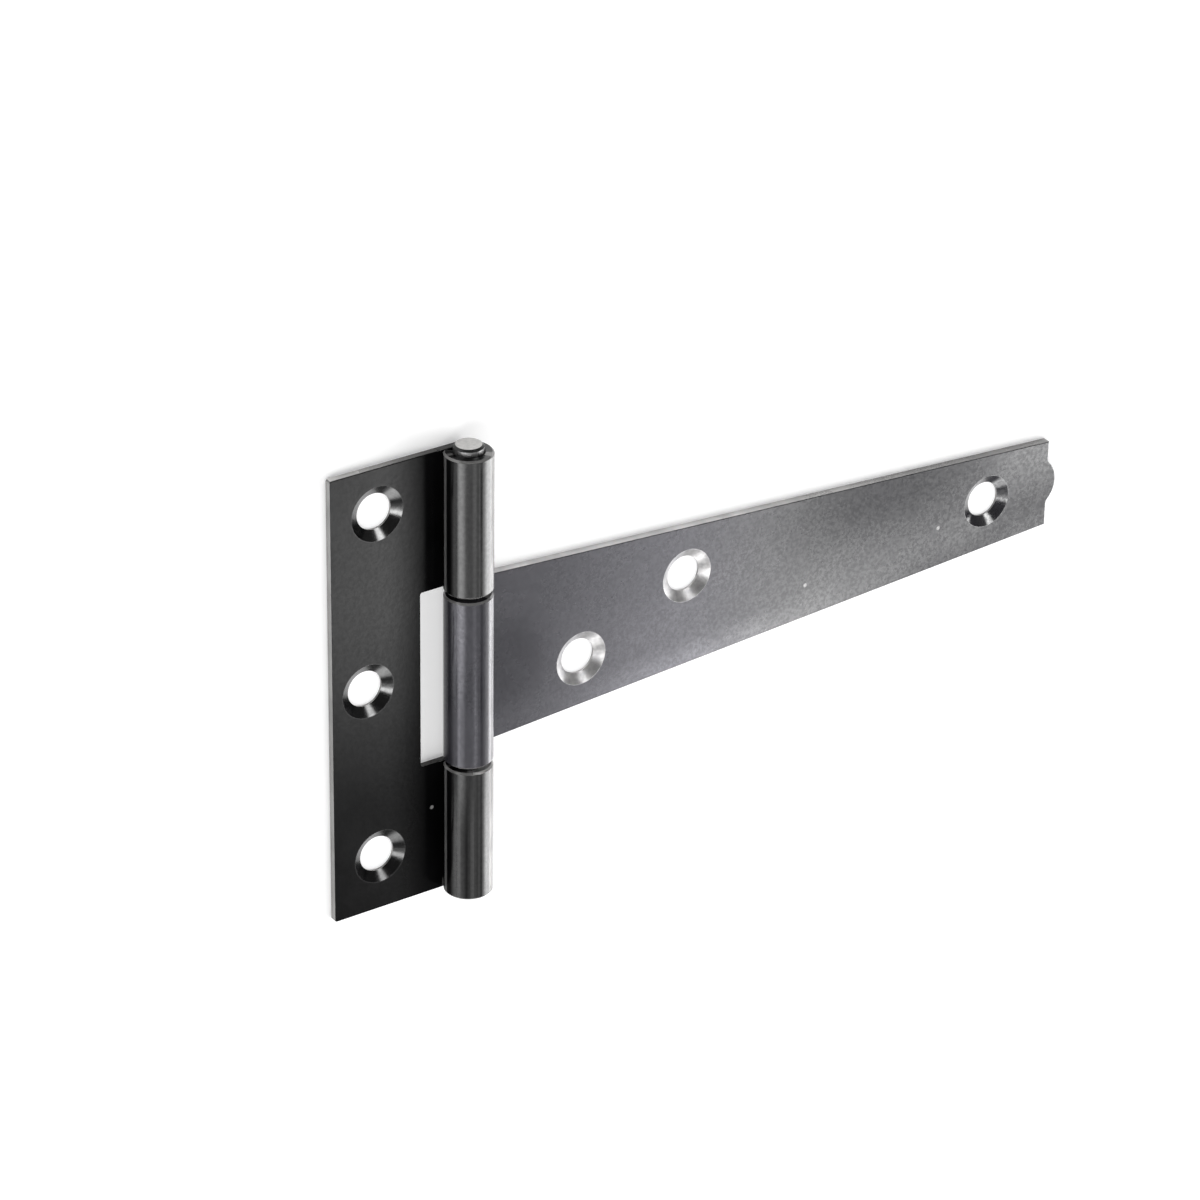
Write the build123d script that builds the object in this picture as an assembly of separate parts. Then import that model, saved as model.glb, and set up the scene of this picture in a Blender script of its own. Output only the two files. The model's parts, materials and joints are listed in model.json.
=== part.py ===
from build123d import *
import os
from math import asin, degrees, sqrt

os.makedirs("parts", exist_ok=True)

# Sheet, pin and barrel
sheet = 1.2                  # thickness of both leaves
pin_radius = 2.05
pin_clearance = 0.05         # radial, pin in every knuckle
pin_proud = 1.0              # how far the pin stands out of the top knuckle
pin_recess = 0.2             # how far its other end lies inside the bottom knuckle
pin_end_chamfer = 0.3
seam_gap = 0.15              # between the end of a curl and the face of its own leaf
knuckle_end_bevel = 0.25     # outer edge of each knuckle's end

# Butt plate
plate_height = 65.0
plate_width = 19.5           # pin axis to outer edge
notch_height = 25.8
notch_rise = -0.2            # middle of the notch above the middle of the plate
notch_depth_edge = 6.0       # pin axis to the bottom of the notch
plate_corner_round = 0.4
notch_corner_round = 0.3
plate_screw_pitch = 25.3
plate_screw_rise = 0.7       # middle screw above the middle of the plate
plate_outer_screw_inset = 7.05   # end screws, in from the plate's outer edge
plate_middle_screw_inset = 5.45  # middle screw, in from the plate's outer edge

# Strap
strap_reach = 98.1           # pin axis to the shoulders of the tip
strap_tip_width = 13.0
strap_rise = 0.15            # centre line of the strap above the middle of the plate
strap_shoulder_reach = 5.2   # pin axis to the shoulder where the tongue widens into the strap
knuckle_end_gap = 0.6        # each end of the middle knuckle, to its neighbour
tip_corner_round = 0.35
tip_lobe_radius = 4.0
tip_lobe_proud = 1.45        # lobe beyond the shoulders of the tip
tip_lobe_rise = 0.25         # lobe above the strap's centre line
tip_cove_radius = 1.0        # hollow between the lobe and each shoulder
strap_root_screw = (19.2, -4.5)    # from the pin axis, and above the centre line
strap_middle_screw = (36.2, 3.05)
strap_tip_screw = (10.8, 0.1)      # back from the shoulders of the tip, and above the centre line

# Screw holes
screw_hole_radius = 2.55
countersink_radius = 3.85
hole_land = 0.3              # straight wall left under the countersink
edge_round = 0.15            # outer edge of each leaf's face

# Working values
cutter_excess = 1.0          # how far a cutting block passes the metal
same = 1e-4                  # positions nearer than this are the same

# Worked out from the sizes above
bore_radius = pin_radius + pin_clearance
barrel_radius = bore_radius + sheet
curl_end = 180 - degrees(asin((sheet + seam_gap) / barrel_radius - 1))
notch_top = notch_rise + notch_height / 2
notch_bottom = notch_rise - notch_height / 2
tongue_top = notch_top - knuckle_end_gap
tongue_bottom = notch_bottom + knuckle_end_gap
strap_root_half = strap_rise - tongue_bottom
tip_top = tip_lobe_proud + strap_reach


def rolled_profile(leaf_length):
    """Section across the barrel: a leaf that comes from -X, passes under the pin and curls round it.

    The pin's axis is at x = 0, one barrel radius above the leaf's back.
    """
    centre = Vector(0, barrel_radius)

    def on_circle(radius, angle):
        return centre + Vector(radius, 0).rotate(Axis.Z, angle)

    middle_angle = (curl_end - 90) / 2
    with BuildSketch(Plane.XZ) as section:
        with BuildLine():
            Line((-leaf_length, 0), (0, 0))
            ThreePointArc((0, 0), on_circle(barrel_radius, middle_angle), on_circle(barrel_radius, curl_end))
            Line(on_circle(barrel_radius, curl_end), on_circle(bore_radius, curl_end))
            ThreePointArc(on_circle(bore_radius, curl_end), on_circle(bore_radius, middle_angle), (0, sheet))
            Line((0, sheet), (-leaf_length, sheet))
            Line((-leaf_length, sheet), (-leaf_length, 0))
        make_face()
    return section.sketch


def rolled_sheet(leaf_length, bottom, top):
    """The section above, from one height along the pin to another."""
    solid = extrude(rolled_profile(leaf_length), amount=-(top - bottom))
    return solid.moved(Location((0, bottom, 0)))


def round_face(solid):
    """Round the edge of the leaf's face, all but the line where it runs into the curl."""
    level = solid.faces().filter_by(Plane.XY)
    face = level.filter_by(lambda flat: abs(flat.center().Z - sheet) < same)[0]
    edges = face.outer_wire().edges().filter_by(lambda edge: abs(edge.center().X) > same)
    return fillet(edges, edge_round)


def corners_at(solid, along):
    """Upright corner edges of a leaf at one distance along it."""
    return [edge for edge in solid.edges().filter_by(Axis.Z) if abs(edge.center().X - along) < same]


def bevel_ends(solid, heights):
    """Bevel the outer edge of the curl at the given heights along the pin."""
    edges = [
        edge
        for edge in solid.edges().filter_by(GeomType.CIRCLE)
        if abs(edge.radius - barrel_radius) < same
        and any(abs(edge.center().Y - height) < same for height in heights)
    ]
    return chamfer(edges, knuckle_end_bevel)


def screw_hole(x, y):
    """Through hole with a countersink in the leaf's face."""
    cone_depth = sheet - hole_land
    cone = Solid.make_cone(screw_hole_radius, countersink_radius, cone_depth)
    hole = Solid.make_cylinder(screw_hole_radius, sheet)
    return (hole + cone.moved(Location((0, 0, hole_land)))).moved(Location((x, y, 0)))


def make_butt_plate():
    half = plate_height / 2
    plate = rolled_sheet(plate_width, -half, half)
    notch = Box(
        notch_depth_edge + barrel_radius + cutter_excess,
        notch_height,
        2 * (barrel_radius + cutter_excess),
        align=(Align.MIN, Align.CENTER, Align.CENTER),
    )
    plate -= notch.moved(Location((-notch_depth_edge, notch_rise, barrel_radius)))
    plate = fillet(corners_at(plate, -plate_width), plate_corner_round)
    plate = fillet(corners_at(plate, -notch_depth_edge), notch_corner_round)
    plate = round_face(plate)
    plate = bevel_ends(plate, [half, notch_top, notch_bottom, -half])
    for step in (-1, 0, 1):
        inset = plate_outer_screw_inset if step else plate_middle_screw_inset
        plate -= screw_hole(inset - plate_width, plate_screw_rise + step * plate_screw_pitch)
    return plate


def strap_outline():
    """Flat shape of the strap, from the pin axis to the lobe at its tip."""
    tip_half = strap_tip_width / 2
    lobe_centre = strap_reach + tip_lobe_proud - tip_lobe_radius
    lobe_half = sqrt(tip_lobe_radius**2 - (strap_reach - lobe_centre) ** 2)
    taper = (strap_root_half - tip_half) / strap_reach
    shoulder_half = strap_root_half - taper * strap_shoulder_reach
    with BuildSketch() as outline:
        with BuildLine():
            Polyline(
                (strap_reach, strap_rise + tip_lobe_rise + lobe_half),
                (strap_reach, strap_rise + tip_half),
                (strap_shoulder_reach, strap_rise + shoulder_half),
                (strap_shoulder_reach, tongue_top),
                (0, tongue_top),
                (0, tongue_bottom),
                (strap_reach, strap_rise - tip_half),
                (strap_reach, strap_rise + tip_lobe_rise - lobe_half),
            )
            ThreePointArc(
                (strap_reach, strap_rise + tip_lobe_rise - lobe_half),
                (tip_top, strap_rise + tip_lobe_rise),
                (strap_reach, strap_rise + tip_lobe_rise + lobe_half),
            )
        make_face()
        tip = outline.vertices().filter_by(lambda corner: abs(corner.X - strap_reach) < same)
        by_height = tip.sort_by(Axis.Y)
        fillet(by_height[1:3], tip_cove_radius)
        fillet([by_height[0], by_height[3]], tip_corner_round)
    return outline.sketch


def make_strap():
    knuckle = rolled_sheet(barrel_radius, tongue_bottom, tongue_top).mirror(Plane.YZ)
    strap = extrude(strap_outline(), amount=sheet) + knuckle
    strap = round_face(strap)
    strap = bevel_ends(strap, [tongue_bottom, tongue_top])
    tip_inset, tip_above = strap_tip_screw
    for along, above in (strap_root_screw, strap_middle_screw, (strap_reach - tip_inset, tip_above)):
        strap -= screw_hole(along, strap_rise + above)
    return strap


def make_pin():
    bottom = -plate_height / 2 + pin_recess
    top = plate_height / 2 + pin_proud
    pin = Cylinder(pin_radius, top - bottom, rotation=(-90, 0, 0))
    pin = pin.moved(Location((0, (top + bottom) / 2, barrel_radius)))
    return chamfer(pin.edges().filter_by(GeomType.CIRCLE), pin_end_chamfer)


# The origin is the middle of the footprint, on the surface that the hinge lies on
origin = Location((-(tip_top - plate_width) / 2, -pin_proud / 2, 0))

for name, solid in {
    "butt_plate": make_butt_plate(),
    "strap": make_strap(),
    "hinge_pin": make_pin(),
}.items():
    export_step(solid.moved(origin), f"parts/{name}.step")
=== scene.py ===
import json

import bpy
from mathutils import Matrix

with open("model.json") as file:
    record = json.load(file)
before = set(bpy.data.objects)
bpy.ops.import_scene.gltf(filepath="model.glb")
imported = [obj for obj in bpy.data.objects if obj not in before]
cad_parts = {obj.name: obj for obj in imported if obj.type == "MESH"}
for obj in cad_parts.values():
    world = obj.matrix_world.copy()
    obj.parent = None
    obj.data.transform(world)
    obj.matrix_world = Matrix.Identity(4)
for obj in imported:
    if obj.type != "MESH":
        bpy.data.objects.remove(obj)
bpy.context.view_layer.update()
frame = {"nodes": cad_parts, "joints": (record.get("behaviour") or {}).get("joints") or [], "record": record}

# The pin's axis lies along y, one barrel radius above the floor
AXIS_X, _, BARREL_RADIUS = frame["joints"][0]["pos_m"]

MM = 0.001
FULL_TURN = 360.0
WHITE = (1, 1, 1, 1)

# Camera: its place in metres, its axes and its lens
CAMERA_PLACE = (-0.352858, 0.317437, 0.484336)
CAMERA_RIGHT = (0.8257873, 0.0133371, 0.5638240)
CAMERA_UP = (0.2561879, 0.8817552, -0.3960753)
CAMERA_BACK = (-0.5024372, 0.4715188, 0.7247254)
LENS_MM = 151.06
SENSOR_MM = 36.0
NEAREST_SEEN = 0.01
FARTHEST_SEEN = 50.0

# White paper floor
FLOOR_SIDE = 6.0
FLOOR_COLOUR = (0.74, 0.74, 0.74, 1)
FLOOR_LIFT = 0.34            # what the paper adds to its own lit colour, seen or mirrored

# Studio light: each window has its azimuths from +X and its elevations, in degrees, and then its
# radiance. It opens between its first two angles and closes between its last two.
SURROUND = 0.12
SEEN_BEHIND = 1.0            # strength of the plain white that the camera sees past the floor
WINDOWS = {
    "right": ((-51, -44, -10, -2), (0, 8, 44.5, 52), 4.6),
    "right_low": ((-44, -36, -12, -4), (-8, -2, 26, 40), 4.4),
    "left": ((-179, -168, -140, -128), (-1, 14, 20, 50), 5.4),
    "back": ((46, 53, 70, 78), (43, 47, 56, 60), 11.0),
    "far_left": ((-174, -168, -154, -148), (47, 51, 58, 62), 12.0),
    "front": ((-120, -107, -84, -74), (5, 15, 30, 38), 3.8),
    "top": ((-124, -110, -92, -78), (56, 60, 66, 72), 0.9),
    "ceiling": ((-165, -150, -58, -50), (38, 48, 70, 80), 1.1),
}

# Noises: features to the metre, octaves and roughness. Nearly all of a noise lies in NOISE_SPAN.
NOISE_SPAN = (0.3, 0.7)
MOTTLE = (110.0, 5.0, 0.6)
PATCHES = (260.0, 3.0, 0.5)
FLAKES = (650.0, 3.0, 0.6)
PIMPLES = (1100.0, 2.0, 0.5)
DUST = (2200.0, 2.0, 0.6)
WIRE_GRAIN = (2500.0, 4.0, 0.6)

# Enamel: its colour and its roughness each run from one value to the other over its mottle
PLATE_PAINT = ((0.0012, 0.0012, 0.0013, 1), (0.0028, 0.0028, 0.003, 1))
STRAP_PAINT = ((0.012, 0.0118, 0.015, 1), (0.024, 0.0235, 0.028, 1))
PLATE_GLOSS = (0.15, 0.21)
STRAP_GLOSS = (0.22, 0.3)
PLATE_GRAIN = 0.12
CURL_SMOOTHER = 0.08         # the strap's curl against its face
COUNTERSINK_SMOOTHER = 0.1   # the strap's countersinks against its face
FULL_SHEEN = 0.5             # specular level where the sheen is 1
FINE_PEEL = 0.01 * MM        # depth of the orange peel where the grain is 1
COARSE_PEEL = 0.02 * MM
BLUISH_TINT = (0.93, 0.92, 1, 1)
GREY_TINT = (0.98, 0.98, 0.98, 1)

# Bare steel, and the roughness that it has where it is fully bare
BARE_STEEL = (0.72, 0.71, 0.7, 1)
BARE_ROUGHNESS = 0.42
PATCHY_WEAR = (0.75, 1.0)

# From here on, a span has four values: where it opens, is fully open, starts to close and is closed. A ramp
# has its low and high end, and where they aren't 0 and 1, the results there. Angles go round the pin from
# +X, in degrees.
HIGHLIGHT_STRIP = (38, 42, 58, 68)                        # painted highlight: a strip of bare steel on the side of the barrel by the strap
RIM_FACING = (0.5, 0.6, 0.8, 0.9)                # the bevel at each knuckle's end
WALL_FACING = (0.6, 0.95)                        # cut edge of the sheet, and not its face
COUNTERSINK_RIM = 3.95 * MM
COUNTERSINK_SOFT = 0.1 * MM
LEAF_STARTS = 1.02                               # in barrel radii from the pin axis
FRONT_FACING = (-0.5, -0.2)                      # all of the sheet but its back

# Wear of the plate, and painted highlights of bare steel on it
END_WALL_WEAR = (-60 * MM, -44 * MM, 0.9, 0.2)   # along x
OUTER_WALL_WEAR = 0.45
PLATE_RIM_WEAR = 0.35
PLATE_STRIP_HIGHLIGHT = (-24 * MM, -12 * MM, 0.6, 0.42)      # along y; bare steel in the painted highlight strip
# Painted highlight: bare steel that lightens the lower joint's end face, which the gap would shade
LOWER_JOINT = (-17 * MM, -16 * MM, -11 * MM, -10 * MM)   # along y
LOWER_JOINT_FACING = (0.5, 0.65)
LOWER_JOINT_TURN = (0, 20, 100, 135)
LOWER_JOINT_HIGHLIGHT = 0.9
FREE_END = (180, 186, 192, 198)                  # painted highlight: a thin light line where the curl's free end shows
FREE_END_HIGHLIGHT = 0.17
PLATE_CHIPS = [(-44.4 * MM, -20.2 * MM)]
PLATE_CHIP_RADIUS = 0.35 * MM
PLATE_CHIP_SOFT = 0.2 * MM
PLATE_CHIP_WEAR = 0.5

# Sheen of the plate: painted reflections and painted shade
CREASE_SHADE = (4.2 * MM, 12.2 * MM, 0.1, 1.0)   # away from the pin axis; painted shade in the crease beside the barrel
PLATE_SHEEN = (-20 * MM, 16 * MM, 0.21, 0.98)    # along y; painted shade toward the bottom end
PLATE_CURL_SHEEN = (-20 * MM, 14 * MM, 0.66, 1.06)
PLATE_COUNTERSINK_SHEEN = 0.9

# Painted shade and painted highlights: spans of the plate's knuckles whose sheen is lower by a share, or
# higher where the share is negative
PLATE_CURL_SHADES = {
    (148, 171, 214, 220): 0.97,
    (92, 94.5, 98, 101): -0.55,
    (82, 87, 90, 93): 0.28,
    (62, 66, 71, 76): 0.17,
}
LOWER_KNUCKLE = (-24 * MM, -12 * MM, 1.0, 0.0)   # along y
LOWER_KNUCKLE_SHADES = {
    (146, 152, 158, 172): -1.8,
    (121, 128, 138, 148): 0.64,
    (108, 112, 116, 120): -0.9,
    (64, 78, 82, 88): -0.45,
}

# Wear of the strap, and a painted highlight of bare steel on its barrel
STRAP_WALL_FACING = (0.5, 0.9)
STRAP_WALL_WEAR = (0.0, 45 * MM, 1.0, 0.45)      # along x
TIP_WALL_WEAR = 0.4
STRAP_RIM_WEAR = 0.35
# painted highlight: bare steel in the strip on the strap's barrel
STRAP_STRIP_HIGHLIGHT = 0.45
PALE_COUNTERSINKS = ("strap_screw_root", "strap_screw_middle")
PALE_COUNTERSINK_WEAR = (0.35, 0.75)
PALE_COUNTERSINK_ROUGHNESS = 0.34
STRAP_CHIPS = [(38.9 * MM, -2.1 * MM), (16.1 * MM, -4.5 * MM)]
STRAP_CHIP_RADIUS = 0.4 * MM
STRAP_CHIP_SOFT = 0.25 * MM
STRAP_CHIP_WEAR = 0.4

# Sheen of the strap, which holds painted reflections and painted shade
STRAP_SHEEN_ROOT = (-36 * MM, 0.0, 0.85, 1.75)   # along x
STRAP_SHEEN_TIP = (10 * MM, 45 * MM, 1.0, 0.64)  # along x
STRAP_SHEEN_ACROSS = (-7 * MM, 7 * MM, 1.12, 0.9)
DIM_PATCH_ALONG = (4 * MM, 26 * MM, 30 * MM, 54 * MM)  # along x; a darker patch on the strap's upper side, where the sheen is lower
DIM_PATCH_ACROSS = (-6 * MM, 5.5 * MM)                # along y
DIM_PATCH_DEPTH = 0.53
# Painted shade: less sheen at the strap's root beside the barrel
ROOT_SHADE = (-33 * MM, -2.5 * MM)
ROOT_SHADE_RADIUS = 10 * MM
ROOT_SHADE_SOFT = 7 * MM
ROOT_SHADE_DEPTH = 0.42
LOWER_EDGE_START = -13.0 * MM                    # y of the strap's lower edge beside the pin's axis
LOWER_EDGE_RISE = 0.0627                         # and how it rises with the distance from there
LOWER_EDGE_BAND = (0.0, 4.5 * MM, 1.0, 0.0)      # above the edge; a painted highlight runs along the strap's lower edge
LOWER_EDGE_SHADES = {                            # along x
    (-34 * MM, -8 * MM, 6 * MM, 32 * MM): -0.62,
    (28 * MM, 38 * MM, 46 * MM, 51 * MM): 0.25,
    (50 * MM, 53 * MM, 70 * MM, 80 * MM): -0.5,
}
TIP_ALONG = (44 * MM, 54 * MM)                   # along x
TIP_ACROSS = (-5 * MM, 7 * MM, -0.43, 0.7)       # along y, what the strap's end adds to the sheen as a painted reflection
STRAP_CURL_SHEEN = 1.15
STRAP_CURL_SHADES = {(60, 74, 90, 96): 0.84, (150, 176, 202, 216): 0.65}
UPPER_CURL = (-6 * MM, 8 * MM)                   # along y
UPPER_CURL_SHADES = {(146, 151, 162, 172): -1.2}
LOWER_CURL_SHADES = {(123, 131, 139, 150): 0.45, (99, 103, 107, 111): -0.5}
STRAP_COUNTERSINK_SHEEN = 0.8
BLUISH_ALONG = (-10 * MM, 18 * MM)               # along x, from bluish to grey
STRAP_GRAIN = (-25 * MM, 45 * MM, 0.14, 0.29)    # along x
STRAP_CURL_GRAIN = 0.16

# Pin
PIN_SIDE = (0.22, 0.22, 0.22, 1)
# Painted shade: the chamfer at the pin's end, darkened
PIN_CHAMFER_SHADE = (0.05, 0.05, 0.05, 1)
PIN_END = ((0.42, 0.42, 0.41, 1), (0.56, 0.55, 0.54, 1))
PIN_END_FACING = (0.85, 0.97)
PIN_CHAMFER_FACING = (0.2, 0.4, 0.8, 0.95)
PIN_ROUGHNESS = (0.3, 0.5)
PIN_BUMP = 0.0025 * MM


def node(tree, kind, **values):
    """A shader node, with its settings and the values of its inputs."""
    made = tree.nodes.new(kind)
    for name, value in values.items():
        if hasattr(made, name):
            setattr(made, name, value)
        else:
            made.inputs[name.replace("_", " ")].default_value = value
    return made


def feed(tree, value, socket):
    """Gives a socket a plain value or another node's output."""
    if isinstance(value, bpy.types.NodeSocket):
        tree.links.new(value, socket)
    else:
        socket.default_value = value


def maths(tree, operation, *values):
    """The result of one arithmetic operation."""
    made = node(tree, "ShaderNodeMath", operation=operation)
    for value, socket in zip(values, made.inputs):
        feed(tree, value, socket)
    return made.outputs[0]


def product(tree, first, *others):
    for other in others:
        first = maths(tree, "MULTIPLY", first, other)
    return first


def total(tree, first, *others):
    for other in others:
        first = maths(tree, "ADD", first, other)
    return first


def largest(tree, first, *others):
    for other in others:
        first = maths(tree, "MAXIMUM", first, other)
    return first


def left_by(tree, share, depth):
    """What is left of 1 where a share, from 0 to 1, takes away up to a depth."""
    return maths(tree, "SUBTRACT", 1.0, product(tree, share, depth))


def ramp(tree, value, low, high, start=0.0, end=1.0):
    """A smooth step from start to end as the value goes from low to high."""
    made = node(tree, "ShaderNodeMapRange", interpolation_type="SMOOTHSTEP")
    for given, socket in zip((value, low, high, start, end), made.inputs):
        feed(tree, given, socket)
    return made.outputs[0]


def between(tree, value, opens, open_from, open_to, closes):
    """1 in the middle of a span and 0 outside it, with soft ends."""
    return product(tree, ramp(tree, value, opens, open_from), ramp(tree, value, open_to, closes, 1.0, 0.0))


def mixed(tree, share, first, second, kind="RGBA"):
    """A colour or a number between two, by a share from 0 to 1."""
    made = node(tree, "ShaderNodeMix", data_type=kind)
    sockets = [socket for socket in made.inputs if socket.enabled]
    for given, socket in zip((share, first, second), sockets):
        feed(tree, given, socket)
    return next(socket for socket in made.outputs if socket.enabled)


def parts_of(tree, vector):
    made = node(tree, "ShaderNodeSeparateXYZ")
    feed(tree, vector, made.inputs[0])
    return made.outputs


def noise(tree, place, kind):
    scale, octaves, roughness = kind
    made = node(tree, "ShaderNodeTexNoise", Scale=scale, Detail=octaves, Roughness=roughness)
    feed(tree, place, made.inputs["Vector"])
    return made.outputs[0]


def spread(tree, value, start=0.0, end=1.0):
    """A noise stretched to run from start to end."""
    return ramp(tree, value, *NOISE_SPAN, start, end)


def bump(tree, height, distance, under=None):
    """The normal that a height gives, over another if there is one."""
    made = node(tree, "ShaderNodeBump")
    feed(tree, distance, made.inputs["Distance"])
    feed(tree, height, made.inputs["Height"])
    if under:
        feed(tree, under, made.inputs["Normal"])
    return made.outputs[0]


def new_material(name):
    material = bpy.data.materials.new(name)
    material.use_nodes = True
    material.node_tree.nodes.clear()
    return material, material.node_tree


def finish_material(tree, shader):
    end = node(tree, "ShaderNodeOutputMaterial")
    feed(tree, shader.outputs[0], end.inputs["Surface"])


def add_camera():
    data = bpy.data.cameras.new("camera")
    data.lens = LENS_MM
    data.sensor_width = SENSOR_MM
    data.clip_start = NEAREST_SEEN
    data.clip_end = FARTHEST_SEEN
    camera = bpy.data.objects.new("camera", data)
    axes = Matrix((CAMERA_RIGHT, CAMERA_UP, CAMERA_BACK)).transposed().to_4x4()
    camera.matrix_world = Matrix.Translation(CAMERA_PLACE) @ axes
    bpy.context.scene.collection.objects.link(camera)
    bpy.context.scene.camera = camera


def add_floor():
    mesh = bpy.data.meshes.new("floor")
    half = FLOOR_SIDE / 2
    corners = [(-half, -half, 0), (half, -half, 0), (half, half, 0), (-half, half, 0)]
    mesh.from_pydata(corners, [], [range(len(corners))])
    floor = bpy.data.objects.new("floor", mesh)
    bpy.context.scene.collection.objects.link(floor)
    material, tree = new_material("white_paper")
    paper = node(tree, "ShaderNodeBsdfDiffuse", Color=FLOOR_COLOUR)
    glow = node(tree, "ShaderNodeEmission", Color=WHITE)
    path = node(tree, "ShaderNodeLightPath").outputs
    seen = largest(tree, path["Is Camera Ray"], path["Is Glossy Ray"])
    feed(tree, product(tree, seen, FLOOR_LIFT), glow.inputs["Strength"])
    both = node(tree, "ShaderNodeAddShader")
    feed(tree, paper.outputs[0], both.inputs[0])
    feed(tree, glow.outputs[0], both.inputs[1])
    finish_material(tree, both)
    mesh.materials.append(material)


def add_world():
    """A dim studio with soft lights round it, and plain white to the camera."""
    world = bpy.data.worlds.new("studio")
    bpy.context.scene.world = world
    world.use_nodes = True
    tree = world.node_tree
    tree.nodes.clear()
    x, y, z = parts_of(tree, node(tree, "ShaderNodeTexCoord").outputs["Generated"])
    azimuth = maths(tree, "DEGREES", maths(tree, "ARCTAN2", y, x))
    elevation = maths(tree, "DEGREES", maths(tree, "ARCSINE", z))
    light = SURROUND
    for azimuths, elevations, radiance in WINDOWS.values():
        across = between(tree, azimuth, *azimuths)
        upward = between(tree, elevation, *elevations)
        light = total(tree, product(tree, across, upward, radiance), light)
    by_camera = node(tree, "ShaderNodeLightPath").outputs["Is Camera Ray"]
    studio = node(tree, "ShaderNodeBackground", Color=WHITE)
    feed(tree, mixed(tree, by_camera, light, SEEN_BEHIND, "FLOAT"), studio.inputs["Strength"])
    end = node(tree, "ShaderNodeOutputWorld")
    feed(tree, studio.outputs[0], end.inputs["Surface"])


class Leaf:
    """The measures of a leaf's surface that its enamel, its bare steel and its painted light go by."""

    def __init__(self, tree, screws):
        self.tree = tree
        place = node(tree, "ShaderNodeTexCoord")
        self.where = place.outputs["Object"]
        self.x, self.y, z = parts_of(tree, self.where)

        # How squarely the surface faces along x or along y, either way
        facing = parts_of(tree, place.outputs["Normal"])
        self.faces_x = maths(tree, "ABSOLUTE", facing["X"])
        self.faces_y = maths(tree, "ABSOLUTE", facing["Y"])
        self.front = ramp(tree, facing["Z"], *FRONT_FACING)
        self.flat = node(tree, "ShaderNodeCombineXYZ")
        feed(tree, self.x, self.flat.inputs["X"])
        feed(tree, self.y, self.flat.inputs["Y"])

        # Distance from the pin's axis along the leaf, and angle round it
        beside_axis = maths(tree, "SUBTRACT", self.x, AXIS_X)
        above_axis = maths(tree, "SUBTRACT", z, BARREL_RADIUS)
        self.from_axis = maths(tree, "ABSOLUTE", beside_axis)
        turn = maths(tree, "DEGREES", maths(tree, "ARCTAN2", above_axis, beside_axis))
        self.round_pin = maths(tree, "FLOORED_MODULO", turn, FULL_TURN)
        self.on_leaf = ramp(tree, self.from_axis, BARREL_RADIUS, BARREL_RADIUS * LEAF_STARTS)
        self.on_barrel = left_by(tree, self.on_leaf, 1.0)

        self.countersink = self.countersinks(screws)
        self.patchy = spread(tree, noise(tree, self.where, PATCHES), *PATCHY_WEAR)
        self.mottle = noise(tree, self.where, MOTTLE)

    def near(self, centre, radius, soft):
        """1 within a radius of a place on the leaf's face."""
        gap = node(self.tree, "ShaderNodeVectorMath", operation="DISTANCE")
        feed(self.tree, self.flat.outputs[0], gap.inputs[0])
        gap.inputs[1].default_value = (*centre[:2], 0)
        inside = ramp(self.tree, gap.outputs["Value"], radius - soft, radius, 1.0, 0.0)
        return product(self.tree, inside, self.front)

    def countersinks(self, screws):
        """1 in the countersinks of the screws given."""
        return largest(self.tree, *(self.near(place, COUNTERSINK_RIM, COUNTERSINK_SOFT) for place in screws))

    def curl(self, span, bare_share):
        """Bare steel on the barrel over a span of angles round the pin: a painted highlight."""
        return product(self.tree, between(self.tree, self.round_pin, *span), self.on_barrel, bare_share)

    def rim(self, bare_share):
        """Wear on the bevels at the knuckles' ends."""
        return product(self.tree, between(self.tree, self.faces_y, *RIM_FACING), self.on_barrel, bare_share)

    def wall(self, facing, limits, bare_share):
        """Wear on the cut edges of the sheet that face one way."""
        return product(self.tree, ramp(self.tree, facing, *limits), self.on_leaf, bare_share)

    def shaded(self, sheen, measure, shades, share=1.0):
        """A sheen lowered, or raised where the depth is negative, over spans of a measure."""
        for span, depth in shades.items():
            shade = product(self.tree, between(self.tree, measure, *span), share)
            sheen = product(self.tree, sheen, left_by(self.tree, shade, depth))
        return sheen


def enamel(leaf, paint, roughness, wear_and_highlights, sheen, tint, grain):
    """Black stoving enamel over sheet steel: orange peel, dust in the paint and bare places, some where the
    paint has rubbed off and some painted in as highlights.
    """
    tree = leaf.tree
    pimples = noise(tree, leaf.where, PIMPLES)
    dust = noise(tree, leaf.where, DUST)
    painted = mixed(tree, spread(tree, leaf.mottle), *paint)
    sparkle = total(tree, product(tree, spread(tree, dust, -1.0, 1.0), grain), 1.0)
    fine = bump(tree, dust, product(tree, grain, FINE_PEEL))
    shader = node(tree, "ShaderNodeBsdfPrincipled")
    feed(tree, mixed(tree, wear_and_highlights, painted, BARE_STEEL), shader.inputs["Base Color"])
    feed(tree, wear_and_highlights, shader.inputs["Metallic"])
    feed(tree, largest(tree, roughness, product(tree, wear_and_highlights, BARE_ROUGHNESS)), shader.inputs["Roughness"])
    # The sheen sets the specular level; it carries painted reflections, painted highlights and painted shade
    feed(tree, product(tree, sheen, sparkle, FULL_SHEEN), shader.inputs["Specular IOR Level"])
    feed(tree, tint, shader.inputs["Specular Tint"])
    feed(tree, bump(tree, pimples, product(tree, grain, COARSE_PEEL), fine), shader.inputs["Normal"])
    finish_material(tree, shader)


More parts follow.
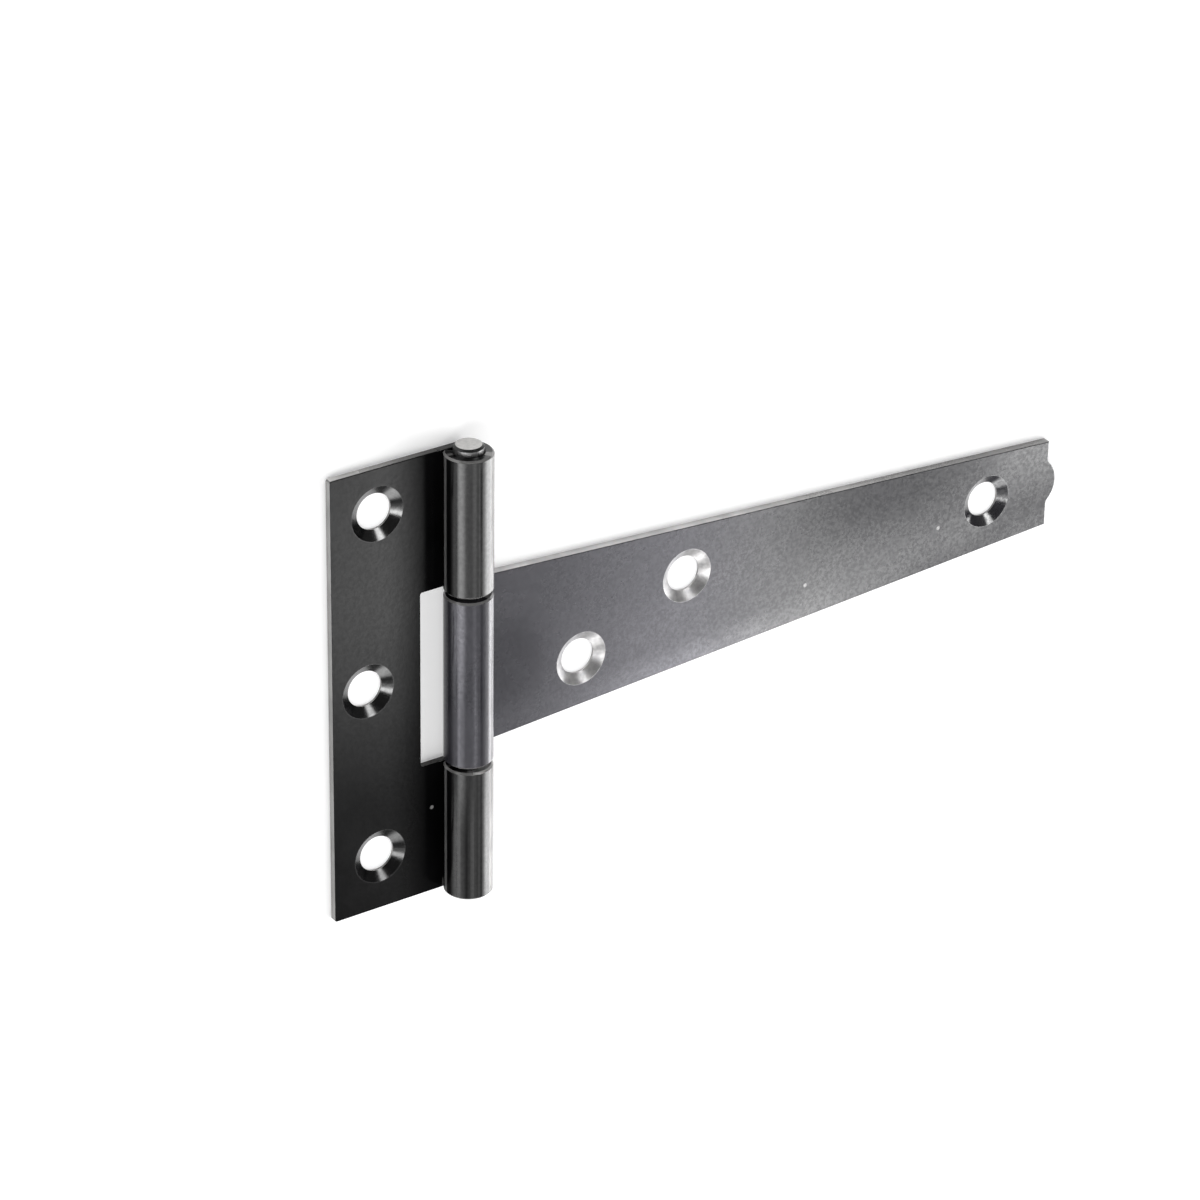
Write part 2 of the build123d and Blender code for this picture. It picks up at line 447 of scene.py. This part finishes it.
def plate_material(screws):
    """Glossy black, with painted shade: less sheen in the crease beside the barrel and toward the bottom
    end, and painted highlights of bare steel on the barrel.
    """
    material, tree = new_material("plate_enamel")
    leaf = Leaf(tree, screws.values())
    lower_joint_highlight = product(
        tree,
        ramp(tree, leaf.faces_y, *LOWER_JOINT_FACING),
        between(tree, leaf.y, *LOWER_JOINT),
        between(tree, leaf.round_pin, *LOWER_JOINT_TURN),
        leaf.on_barrel,
        LOWER_JOINT_HIGHLIGHT,
    )
    wear_and_highlights = largest(
        tree,
        leaf.wall(leaf.faces_y, WALL_FACING, ramp(tree, leaf.x, *END_WALL_WEAR)),
        leaf.wall(leaf.faces_x, WALL_FACING, OUTER_WALL_WEAR),
        leaf.rim(PLATE_RIM_WEAR),
        leaf.curl(FREE_END, FREE_END_HIGHLIGHT),
        leaf.curl(HIGHLIGHT_STRIP, ramp(tree, leaf.y, *PLATE_STRIP_HIGHLIGHT)),
        lower_joint_highlight,
    )
    wear_and_highlights = product(tree, wear_and_highlights, leaf.patchy)
    for place in PLATE_CHIPS:
        chip = leaf.near(place, PLATE_CHIP_RADIUS, PLATE_CHIP_SOFT)
        wear_and_highlights = largest(tree, wear_and_highlights, product(tree, chip, PLATE_CHIP_WEAR))

    on_face = product(
        tree, leaf.on_leaf, ramp(tree, leaf.from_axis, *CREASE_SHADE), ramp(tree, leaf.y, *PLATE_SHEEN)
    )
    on_curl = product(tree, leaf.on_barrel, ramp(tree, leaf.y, *PLATE_CURL_SHEEN))
    on_curl = leaf.shaded(on_curl, leaf.round_pin, PLATE_CURL_SHADES)
    lower = ramp(tree, leaf.y, *LOWER_KNUCKLE)
    on_curl = leaf.shaded(on_curl, leaf.round_pin, LOWER_KNUCKLE_SHADES, lower)
    sheen = total(tree, on_face, on_curl, product(tree, leaf.countersink, PLATE_COUNTERSINK_SHEEN))
    roughness = spread(tree, leaf.mottle, *PLATE_GLOSS)
    enamel(leaf, PLATE_PAINT, roughness, wear_and_highlights, sheen, WHITE, PLATE_GRAIN)
    return material


def strap_material(screws):
    """Thinner and duller enamel with a grain, bluish toward the barrel, its walls bare at that end. Its
    sheen holds painted reflections and painted shade, and a strip of bare steel on its barrel is a painted
    highlight.
    """
    material, tree = new_material("strap_enamel")
    leaf = Leaf(tree, screws.values())
    pale = leaf.countersinks(screws[name] for name in PALE_COUNTERSINKS)
    flaked = spread(tree, noise(tree, leaf.where, FLAKES), *PALE_COUNTERSINK_WEAR)
    wear_and_highlights = largest(
        tree,
        leaf.wall(leaf.faces_y, STRAP_WALL_FACING, ramp(tree, leaf.x, *STRAP_WALL_WEAR)),
        leaf.wall(leaf.faces_x, WALL_FACING, TIP_WALL_WEAR),
        leaf.rim(STRAP_RIM_WEAR),
        leaf.curl(HIGHLIGHT_STRIP, STRAP_STRIP_HIGHLIGHT),
        product(tree, pale, flaked),
    )
    wear_and_highlights = product(tree, wear_and_highlights, leaf.patchy)
    for place in STRAP_CHIPS:
        chip = leaf.near(place, STRAP_CHIP_RADIUS, STRAP_CHIP_SOFT)
        wear_and_highlights = largest(tree, wear_and_highlights, product(tree, chip, STRAP_CHIP_WEAR))

    dim_patch = product(tree, between(tree, leaf.x, *DIM_PATCH_ALONG), ramp(tree, leaf.y, *DIM_PATCH_ACROSS))
    root_shade = leaf.near(ROOT_SHADE, ROOT_SHADE_RADIUS, ROOT_SHADE_SOFT)
    tip = product(tree, ramp(tree, leaf.x, *TIP_ALONG), ramp(tree, leaf.y, *TIP_ACROSS))
    on_face = product(
        tree,
        leaf.on_leaf,
        ramp(tree, leaf.x, *STRAP_SHEEN_ROOT),
        ramp(tree, leaf.x, *STRAP_SHEEN_TIP),
        ramp(tree, leaf.y, *STRAP_SHEEN_ACROSS),
        left_by(tree, dim_patch, DIM_PATCH_DEPTH),
        left_by(tree, root_shade, ROOT_SHADE_DEPTH),
        total(tree, tip, 1.0),
    )
    lower_edge = total(tree, product(tree, leaf.from_axis, LOWER_EDGE_RISE), LOWER_EDGE_START)
    off_edge = maths(tree, "SUBTRACT", leaf.y, lower_edge)
    on_face = leaf.shaded(on_face, leaf.x, LOWER_EDGE_SHADES, ramp(tree, off_edge, *LOWER_EDGE_BAND))
    upper = ramp(tree, leaf.y, *UPPER_CURL)
    on_curl = product(tree, leaf.on_barrel, STRAP_CURL_SHEEN)
    on_curl = leaf.shaded(on_curl, leaf.round_pin, STRAP_CURL_SHADES)
    on_curl = leaf.shaded(on_curl, leaf.round_pin, UPPER_CURL_SHADES, upper)
    on_curl = leaf.shaded(on_curl, leaf.round_pin, LOWER_CURL_SHADES, left_by(tree, upper, 1.0))
    sheen = total(tree, on_face, on_curl, product(tree, leaf.countersink, STRAP_COUNTERSINK_SHEEN))
    tint = mixed(tree, ramp(tree, leaf.x, *BLUISH_ALONG), BLUISH_TINT, GREY_TINT)
    grain = largest(tree, ramp(tree, leaf.x, *STRAP_GRAIN), product(tree, leaf.on_barrel, STRAP_CURL_GRAIN))
    curl_smoother = product(tree, leaf.on_barrel, CURL_SMOOTHER)
    countersink_smoother = product(tree, leaf.countersink, COUNTERSINK_SMOOTHER)
    smoother = total(tree, curl_smoother, countersink_smoother)
    roughness = maths(tree, "SUBTRACT", spread(tree, leaf.mottle, *STRAP_GLOSS), smoother)
    roughness = largest(tree, roughness, product(tree, pale, PALE_COUNTERSINK_ROUGHNESS))
    enamel(leaf, STRAP_PAINT, roughness, wear_and_highlights, sheen, tint, grain)
    return material


def pin_material():
    """Drawn steel wire, greyed on its side, bright where it was cropped, and with painted shade on the
    chamfer at its end.
    """
    material, tree = new_material("pin_steel")
    place = node(tree, "ShaderNodeTexCoord")
    grain = noise(tree, place.outputs["Object"], WIRE_GRAIN)
    faces_y = maths(tree, "ABSOLUTE", parts_of(tree, place.outputs["Normal"])["Y"])
    bright = mixed(tree, spread(tree, grain), *PIN_END)
    colour = mixed(tree, ramp(tree, faces_y, *PIN_END_FACING), PIN_SIDE, bright)
    colour = mixed(tree, between(tree, faces_y, *PIN_CHAMFER_FACING), colour, PIN_CHAMFER_SHADE)
    shader = node(tree, "ShaderNodeBsdfPrincipled", Metallic=1.0)
    feed(tree, colour, shader.inputs["Base Color"])
    feed(tree, spread(tree, grain, *PIN_ROUGHNESS), shader.inputs["Roughness"])
    feed(tree, bump(tree, grain, PIN_BUMP), shader.inputs["Normal"])
    finish_material(tree, shader)
    return material


def screws_of(leaf_name):
    """Places of a leaf's screw holes, by name."""
    mounts = frame["record"]["mounts"]
    return {
        mount["name"]: mount["pos_m"]
        for mount in mounts
        if mount["kind"] == "bore" and mount["name"].startswith(leaf_name)
    }


add_camera()
add_floor()
add_world()
bpy.context.scene.view_settings.view_transform = "Standard"

looks = {
    "butt_plate": plate_material(screws_of("plate")),
    "strap": strap_material(screws_of("strap")),
    "hinge_pin": pin_material(),
}
for name, material in looks.items():
    for slot in frame["nodes"][name].material_slots:
        slot.material = material
